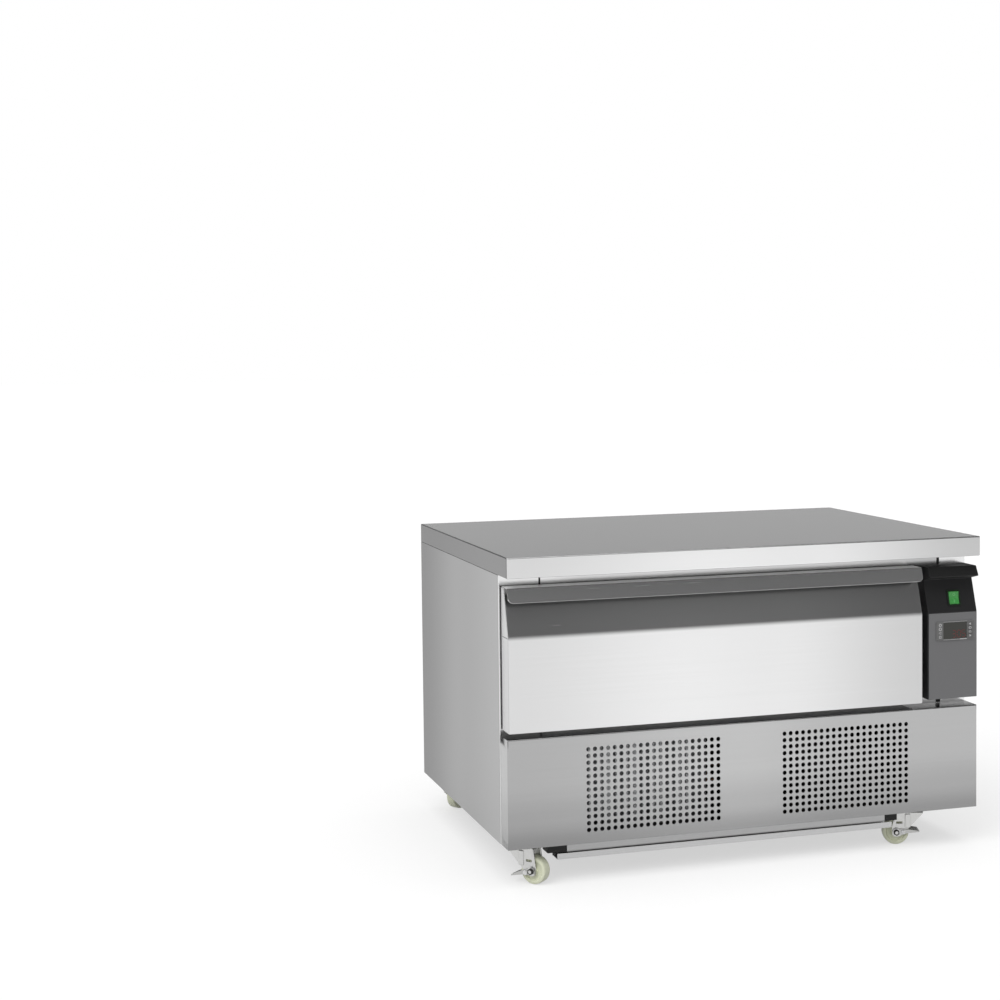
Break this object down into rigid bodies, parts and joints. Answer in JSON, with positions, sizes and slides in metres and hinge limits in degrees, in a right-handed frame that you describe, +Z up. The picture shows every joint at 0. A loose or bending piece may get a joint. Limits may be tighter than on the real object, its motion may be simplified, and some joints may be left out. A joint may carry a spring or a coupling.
{
  "type": "refrigerated drawer counter",
  "caption": "Low refrigerated counter on castors with one wide insulated drawer for food pans, a side control column, a rocker switch and a perforated lower panel.",
  "frame": {"origin": "on the floor, under the middle of the cabinet's width and depth", "axes": "+X to the right seen from the drawer side, +Y to the rear, +Z up; the drawer opens towards -Y"},
  "size_m": [0.93, 0.65, 0.59],
  "materials": {
    "worktop_steel": "satin brushed stainless steel",
    "casing_steel": "satin brushed stainless steel, grain upright",
    "front_steel": "satin brushed stainless steel, grain across",
    "frame_steel": "polished stainless steel",
    "galvanised": "zinc-coated sheet",
    "liner_steel": "smooth stainless steel",
    "foam": "rigid polyurethane foam",
    "core_board": "plain board",
    "housing_black": "fine-grained black plastic",
    "fascia_grey": "smooth grey plastic",
    "controller_black": "black plastic",
    "lens": "smoked window",
    "key_grey": "dark plastic",
    "rocker_green": "translucent green, lit from inside",
    "gasket_black": "soft black seal",
    "foot_rubber": "black rubber",
    "slide_zinc": "bright zinc plated",
    "coil_aluminium": "plain fins",
    "fan_black": "black plastic",
    "motor_black": "black enamel",
    "compressor_black": "black enamel",
    "copper": "drawn copper",
    "tray_plastic": "grey plastic",
    "pipe_plastic": "white plastic",
    "inlet_black": "black plastic",
    "castor_zinc": "bright zinc plated, pressed",
    "wheel_nylon": "pale translucent nylon",
    "pedal_zinc": "zinc plated, pressed"
  },
  "bodies": {
    "cabinet": {"worktop": "worktop_steel", "worktop_core": "core_board", "side_panel_left": "casing_steel", "side_panel_right": "casing_steel", "rear_panel": "galvanised", "frame_top_rail": "frame_steel", "frame_sill": "frame_steel", "inner_liner": "liner_steel", "insulation": "foam", "drain_pipe": "pipe_plastic", "base_pan": "galvanised", "floor_rails": "galvanised", "lower_front_panel": "front_steel", "control_housing": "housing_black", "control_fascia": "fascia_grey", "controller_body": "controller_black", "controller_lens": "lens", "switch_body": "controller_black", "slide_cabinet_members": "slide_zinc", "evaporator_cover": "liner_steel", "evaporator_coil": "coil_aluminium", "evaporator_fan_motor": "motor_black", "air_probe": "pipe_plastic", "condenser_coil": "coil_aluminium", "condenser_shroud": "galvanised", "condenser_fan_motor": "motor_black", "compressor": "compressor_black", "compressor_feet": "foot_rubber", "refrigerant_lines": "copper", "filter_drier": "copper", "condensate_tray": "tray_plastic", "power_inlet": "inlet_black", "castor_plates": "castor_zinc"},
    "drawer": {"drawer_front": "front_steel", "drawer_back": "liner_steel", "drawer_insulation": "foam", "drawer_grip": "front_steel", "drawer_gasket": "gasket_black", "drawer_frame": "liner_steel", "slide_drawer_members": "slide_zinc"},
    "slide_middle_left": {"slide_middle_left": "slide_zinc"},
    "slide_middle_right": {"slide_middle_right": "slide_zinc"},
    "switch_rocker": {"switch_rocker": "rocker_green"},
    "controller_key_1": {"controller_key_1": "key_grey"},
    "controller_key_2": {"controller_key_2": "key_grey"},
    "controller_key_3": {"controller_key_3": "key_grey"},
    "controller_key_4": {"controller_key_4": "key_grey"},
    "condenser_fan": {"condenser_fan": "fan_black"},
    "evaporator_fan": {"evaporator_fan": "fan_black"},
    "castor_fork_front_left": {"castor_fork_front_left": "castor_zinc"},
    "castor_wheel_front_left": {"castor_wheel_front_left": "wheel_nylon"},
    "castor_fork_front_right": {"castor_fork_front_right": "castor_zinc"},
    "castor_wheel_front_right": {"castor_wheel_front_right": "wheel_nylon"},
    "castor_fork_rear_left": {"castor_fork_rear_left": "castor_zinc"},
    "castor_wheel_rear_left": {"castor_wheel_rear_left": "wheel_nylon"},
    "castor_fork_rear_right": {"castor_fork_rear_right": "castor_zinc"},
    "castor_wheel_rear_right": {"castor_wheel_rear_right": "wheel_nylon"},
    "brake_pedal_front_left": {"brake_pedal_front_left": "pedal_zinc"},
    "brake_pedal_front_right": {"brake_pedal_front_right": "pedal_zinc"}
  },
  "joints": [
    {"name": "drawer_slide", "type": "slide", "parent": "cabinet", "child": "drawer", "axis": [0, -1, 0], "range_m": [0, 0.53]},
    {"name": "slide_left_travel", "type": "slide", "parent": "cabinet", "child": "slide_middle_left", "axis": [0, -1, 0], "range_m": [0, 0.265]},
    {"name": "slide_right_travel", "type": "slide", "parent": "cabinet", "child": "slide_middle_right", "axis": [0, -1, 0], "range_m": [0, 0.265]},
    {"name": "switch_rock", "type": "hinge", "parent": "cabinet", "child": "switch_rocker", "pos_m": [0.419, -0.30275, 0.47211], "axis": [1, 0, 0], "range_deg": [-14, 0]},
    {"name": "key_1_press", "type": "slide", "parent": "cabinet", "child": "controller_key_1", "axis": [0, 1, 0], "range_m": [0, 0.0005], "stiffness_N_per_m": 300, "springref_m": -0.0005},
    {"name": "key_2_press", "type": "slide", "parent": "cabinet", "child": "controller_key_2", "axis": [0, 1, 0], "range_m": [0, 0.0005], "stiffness_N_per_m": 300, "springref_m": -0.0005},
    {"name": "key_3_press", "type": "slide", "parent": "cabinet", "child": "controller_key_3", "axis": [0, 1, 0], "range_m": [0, 0.0005], "stiffness_N_per_m": 300, "springref_m": -0.0005},
    {"name": "key_4_press", "type": "slide", "parent": "cabinet", "child": "controller_key_4", "axis": [0, 1, 0], "range_m": [0, 0.0005], "stiffness_N_per_m": 300, "springref_m": -0.0005},
    {"name": "castor_swivel_front_left", "type": "hinge", "parent": "cabinet", "child": "castor_fork_front_left", "pos_m": [-0.421, -0.267, 0.06], "axis": [0, 0, 1], "continuous": true},
    {"name": "wheel_roll_front_left", "type": "hinge", "parent": "castor_fork_front_left", "child": "castor_wheel_front_left", "pos_m": [-0.40561, -0.28409, 0.025], "axis": [-0.7431, -0.6691, 0], "continuous": true},
    {"name": "brake_front_left", "type": "hinge", "parent": "castor_fork_front_left", "child": "brake_pedal_front_left", "pos_m": [-0.40561, -0.28409, 0.025], "axis": [-0.7431, -0.6691, 0], "range_deg": [-17, 0]},
    {"name": "castor_swivel_front_right", "type": "hinge", "parent": "cabinet", "child": "castor_fork_front_right", "pos_m": [0.341, -0.267, 0.06], "axis": [0, 0, 1], "continuous": true},
    {"name": "wheel_roll_front_right", "type": "hinge", "parent": "castor_fork_front_right", "child": "castor_wheel_front_right", "pos_m": [0.31913, -0.25989, 0.025], "axis": [0.309, 0.9511, 0], "continuous": true},
    {"name": "brake_front_right", "type": "hinge", "parent": "castor_fork_front_right", "child": "brake_pedal_front_right", "pos_m": [0.31913, -0.25989, 0.025], "axis": [0.309, 0.9511, 0], "range_deg": [0, 17]},
    {"name": "castor_swivel_rear_left", "type": "hinge", "parent": "cabinet", "child": "castor_fork_rear_left", "pos_m": [-0.421, 0.275, 0.06], "axis": [0, 0, 1], "continuous": true},
    {"name": "wheel_roll_rear_left", "type": "hinge", "parent": "castor_fork_rear_left", "child": "castor_wheel_rear_left", "pos_m": [-0.40216, 0.28819, 0.025], "axis": [0.5736, -0.8192, 0], "continuous": true},
    {"name": "castor_swivel_rear_right", "type": "hinge", "parent": "cabinet", "child": "castor_fork_rear_right", "pos_m": [0.341, 0.275, 0.06], "axis": [0, 0, 1], "continuous": true},
    {"name": "wheel_roll_rear_right", "type": "hinge", "parent": "castor_fork_rear_right", "child": "castor_wheel_rear_right", "pos_m": [0.33701, 0.29765, 0.025], "axis": [0.9848, 0.1736, 0], "continuous": true},
    {"name": "condenser_fan_spin", "type": "hinge", "parent": "cabinet", "child": "condenser_fan", "pos_m": [-0.19, -0.193, 0.1432], "axis": [0, 1, 0], "continuous": true},
    {"name": "evaporator_fan_spin", "type": "hinge", "parent": "cabinet", "child": "evaporator_fan", "pos_m": [0.331, -0.025, 0.372], "axis": [1, 0, 0], "continuous": true}
  ],
  "couplings": [
    {"joint": "slide_left_travel", "follows": "drawer_slide", "ratio": 0.5},
    {"joint": "slide_right_travel", "follows": "drawer_slide", "ratio": 0.5}
  ]
}
